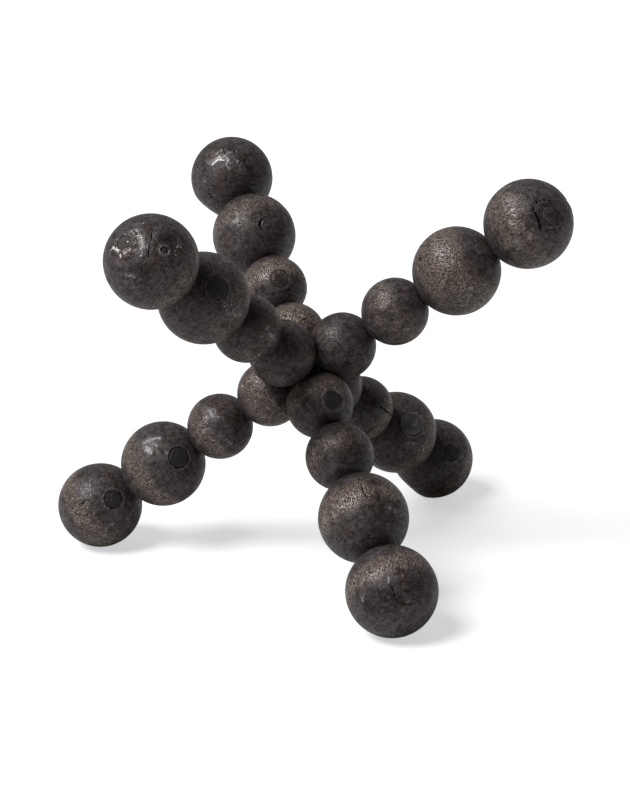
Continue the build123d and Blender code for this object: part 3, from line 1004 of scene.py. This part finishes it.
def wood_material():
    """Blackened wood, worn golden in bands where its fibres lie open."""
    n = new_material("blackened_wood")
    grain = n.attribute("grain")
    mid = n.noise(n.stretch(grain, (1, 1, 0.7)), 0.24, 4.0, 0.65)
    mottle = n.noise(n.stretch(grain, (1, 1, 0.8)), 0.42, 3.0, 0.6)
    small = n.noise(grain, 0.9, 3.0, 0.65)
    speck = n.noise(n.stretch(grain, (1, 1, 0.6)), 1.5, 2.0, 0.6)
    turned = n.noise(n.stretch(grain, (0.12, 0.12, 1)), 1.3, 2.0, 0.6)
    closed = n.span(n.plus(n.times(speck, 0.6), n.times(turned, 0.4)), 0.36, 0.64)
    fibres, stipple, pore = fibre_fields(n, grain)
    soot_and_painted_shade = n.attribute("dark")
    crack = n.ragged(n.attribute("crack"), small, 1.6)
    gloss = n.ragged(n.attribute("gloss"), small)
    pale = n.ragged(n.attribute("pale"), speck, 2.4, 0.25, 0.6)
    glint = n.ragged(n.attribute("glint"), small, 2.0, 0.35, 0.6)
    spark = n.ragged(n.attribute("spark"), small, 2.0, 0.35, 0.6)
    bloom = n.times(n.attribute("bloom"), n.span(mottle, 0.36, 0.60, 0.15, 1.0))

    open_grain = open_share(n, mid, soot_and_painted_shade)
    gold = n.times(n.span(fibres, 0.15, 0.60), n.span(stipple, 0.0, 1.0, 0.25, 1.0))
    colour = char_colour(n, grain, mid, mottle, speck, closed)
    colour = n.mix(n.times(open_grain, 0.7), colour, OPEN_WOOD)
    colour = n.mix(n.times(gold, open_grain), colour, GOLDEN_FIBRE)
    colour = n.mix(n.times(pore, n.span(open_grain, 0.0, 1.0, 0.3, 0.95)), colour, PORE)
    colour = n.mix(bloom, colour, WAX_BLOOM)
    colour = n.mix(n.times(n.attribute("warm"), 0.7), colour, RUST_BROWN)
    # Painted shade: the dark marks lay sooty patches, and over the balls near the jack's middle a broad
    # painted shade.
    colour = n.mix(n.times(soot_and_painted_shade, 0.75), colour, SOOT_AND_PAINTED_SHADE)
    colour = n.mix(n.attribute("ring"), colour, WAX_RIDGE)
    # Pale marks: dried wax, and painted highlights and reflections on the lit upper left of several balls.
    colour = n.mix(n.times(pale, 0.8), colour, PALE_WAX_AND_PAINTED_HIGHLIGHT)
    colour = n.mix(n.times(crack, 0.9), colour, CRACK)
    # Painted highlight: golden glints of reflected light, painted into the colour.
    colour = n.mix(glint, colour, GOLD_GLINT)
    # Painted highlight: silver reflections, painted into the colour.
    colour = n.mix(spark, colour, SILVER_SPARK)

    fibre_height = n.minus(n.times(n.plus(fibres, stipple), 0.6), pore)
    texture = n.blend(open_grain, n.times(closed, 0.7), fibre_height)
    rough = n.minus(n.span(texture, 0.1, 0.8, 0.45, 0.29), n.times(gloss, 0.10))
    shine = n.span(texture, 0.1, 0.8, 0.12, n.span(open_grain, 0.0, 1.0, 0.75, 1.0))
    shine = n.times(shine, n.span(soot_and_painted_shade, 0.0, 1.0, 1.0, 0.5))
    shine = n.plus(shine, n.times(gloss, 0.6))
    shine = n.times(shine, n.span(crack, 0.0, 0.6, 1.0, 0.0))
    return n.surface(
        Base_Color=colour,
        Roughness=rough,
        Specular_IOR_Level=shine,
        Specular_Tint=GLOSS_TINT,
        Normal=n.bump(n.plus(texture, n.times(small, 0.25)), 0.16 * MM),
    )


def plug_material():
    """End grain of a plug, dark and a little crumbly; lighter where glossy, as a painted highlight."""
    n = new_material("plug_wood")
    fine = n.noise(n.attribute("grain"), 1.2, 4.0, 0.65)
    crack = n.ragged(n.attribute("crack"), fine, 1.6)
    gloss = n.attribute("gloss")
    pale = n.ragged(n.attribute("pale"), fine, 1.2, 0.25, 0.7)
    colour = n.mix(n.span(fine, 0.42, 0.62), (0.018, 0.016, 0.016), (0.040, 0.036, 0.037))
    # Painted highlight: the plug's colour is lighter where it is glossy.
    colour = n.mix(n.times(gloss, 0.6), colour, (0.060, 0.049, 0.048))
    colour = n.mix(n.times(n.attribute("warm"), 0.7), colour, (0.075, 0.042, 0.028))
    # Pale marks: dried wax, and on the domed plug a painted highlight.
    colour = n.mix(n.times(pale, 0.75), colour, (0.25, 0.24, 0.25))
    colour = n.mix(crack, colour, CRACK)
    rough = n.minus(n.span(fine, 0.40, 0.62, 0.55, 0.40), n.times(gloss, 0.16))
    shine = n.times(n.span(fine, 0.40, 0.62, 0.15, 0.50), n.span(crack, 0.0, 0.6, 1.0, 0.0))
    shine = n.plus(shine, n.times(gloss, 0.45))
    bump = n.bump(fine, 0.20 * MM)
    return n.surface(Base_Color=colour, Roughness=rough, Specular_IOR_Level=shine, Normal=bump)


def sooted_magnet_material():
    """The open magnets at the arms' ends: nickel under a crust of char, cracked off in places."""
    n = new_material("sooted_nickel")
    where = n.add("ShaderNodeTexCoord").outputs["Object"]
    crust = n.noise(where, 420.0, 4.0, 0.65)
    grit = n.noise(where, 900.0, 3.0, 0.6)
    bare = n.span(crust, 0.64, 0.68)
    char = n.mix(n.span(grit, 0.4, 0.6), (0.014, 0.0115, 0.0105), (0.052, 0.043, 0.037))
    return n.surface(
        Base_Color=n.mix(bare, char, (0.62, 0.52, 0.38)),
        Metallic=n.times(bare, 0.9),
        Roughness=n.span(bare, 0.0, 1.0, 0.55, 0.32),
        Normal=n.bump(n.plus(crust, n.times(grit, 0.4)), 0.8 * MM),
    )


def metal_material(name, colour, roughness):
    n = new_material(name)
    speck = n.noise(n.add("ShaderNodeTexCoord").outputs["Object"], 900.0, 3.0)
    mottled = n.mix(n.span(speck, 0.4, 0.6), colour, [c * 0.5 for c in colour])
    rough = n.span(speck, 0.3, 0.7, roughness, roughness + 0.15)
    return n.surface(Base_Color=mottled, Metallic=1.0, Roughness=rough)


# ---- build the pieces ----
def repaint(obj, material):
    obj.data.materials.clear()
    obj.data.materials.append(material)


def build():
    wood = wood_material()
    plug_wood = plug_material()
    nickel = metal_material("magnet_nickel", (0.30, 0.28, 0.25), 0.3)
    sooted = sooted_magnet_material()
    steel = metal_material("bearing_steel", (0.6, 0.6, 0.61), 0.15)
    for name, ball in BALLS.items():
        piece = mesh_object(f"{name}_turned_ball", *ball_shape(name, ball))
        piece.data.materials.append(wood)
        place(piece, ball, name)
        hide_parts(f"{name}_ball")
        if name in PLUG_LOOKS:
            plug = mesh_object(f"{name}_turned_plug", *plug_shape(name, ball))
            plug.data.materials.append(wood if "smeared" in PLUG_LOOKS[name] else plug_wood)
            place(plug, ball, name)
            if f"{name}_plug" in frame["nodes"]:
                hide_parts(f"{name}_plug")
    for node, obj in frame["nodes"].items():
        if node.endswith("_tip_magnets"):
            repaint(obj, sooted)
        elif node.endswith("_magnets"):
            repaint(obj, nickel)
    repaint(frame["nodes"]["steel_core"], steel)


# ---- stage, light and camera ----
CAMERA_AZIMUTH = 9.1
CAMERA_ELEVATION = 17.6
CAMERA_ROLL = 0.64
CAMERA_DISTANCE = 1.189
CAMERA_LENS = 94.1
CORE_RIGHT = -0.0050        # where the jack's centre lies from the camera's line of sight
CORE_UP = 0.0172

WHITE = (1, 1, 1, 1)
FLOOR_GREY = (0.70, 0.70, 0.70, 1)
FLOOR_HALF = 6.0
ROOM_FRONT = 0.045          # the studio's own light, from the camera's side and from the backdrop
ROOM_BACK = 0.31
FLOOR_GLOW = 0.57           # extra exposure of the white sweep
KEY_FROM = (-0.49, -0.38, 0.79)
KEY_SPREAD = 32.0           # degrees across: how soft the key's shadows are
KEY_POWER = 3.05


def make_camera():
    a, e = math.radians(CAMERA_AZIMUTH), math.radians(CAMERA_ELEVATION)
    back = Vector((math.sin(a) * math.cos(e), -math.cos(a) * math.cos(e), math.sin(e)))
    level = Vector((math.cos(a), math.sin(a), 0))
    roll = math.radians(CAMERA_ROLL)
    level_up = back.cross(level)
    right = level * math.cos(roll) - level_up * math.sin(roll)
    up = level_up * math.cos(roll) + level * math.sin(roll)
    data = bpy.data.cameras.new("camera")
    data.lens = CAMERA_LENS
    data.sensor_width = 36.0
    camera = new_object("camera", data)
    place_at = CORE - right * CORE_RIGHT - up * CORE_UP + back * CAMERA_DISTANCE
    camera.matrix_world = Matrix.Translation(place_at) @ Matrix((right, up, back)).transposed().to_4x4()
    bpy.context.scene.camera = camera


def make_key():
    """One large softbox, high on the left and a little in front, far enough off to light evenly."""
    data = bpy.data.lights.new("key", "SUN")
    data.angle = math.radians(KEY_SPREAD)
    data.energy = KEY_POWER
    light = new_object("key", data)
    light.rotation_mode = "QUATERNION"
    light.rotation_quaternion = Vector(KEY_FROM).to_track_quat("Z", "Y")


def make_floor():
    """The white sweep, a little brighter to the camera than the light alone makes it."""
    h = FLOOR_HALF
    mesh = bpy.data.meshes.new("floor")
    mesh.from_pydata([(-h, -h, 0), (h, -h, 0), (h, h, 0), (-h, h, 0)], [], [(0, 1, 2, 3)])
    n = new_material("floor")
    seen = n.add("ShaderNodeLightPath").outputs["Is Camera Ray"]
    glow = n.times(seen, FLOOR_GLOW)
    n.surface(Base_Color=FLOOR_GREY, Roughness=0.9, Emission_Color=WHITE, Emission_Strength=glow)
    mesh.materials.append(n.owner)
    new_object("floor", mesh)


def make_room():
    """White to the camera. As a light, dim from the camera's side and stronger from the backdrop."""
    world = bpy.data.worlds.new("studio")
    n = Nodes(world)
    seen = n.add("ShaderNodeLightPath").outputs["Is Camera Ray"]
    where = n.add("ShaderNodeTexCoord").outputs["Generated"]
    back = n.add("ShaderNodeSeparateXYZ", Vector=where).outputs["Y"]
    room = n.span(back, -0.3, 1.0, ROOM_FRONT, ROOM_BACK)
    background = n.tree.nodes["Background"]
    n.feed(background.inputs["Color"], WHITE)
    n.feed(background.inputs["Strength"], n.blend(seen, room, 1.0))
    bpy.context.scene.world = world
    bpy.context.scene.view_settings.view_transform = "Standard"


build()
make_floor()
make_room()
make_key()
make_camera()
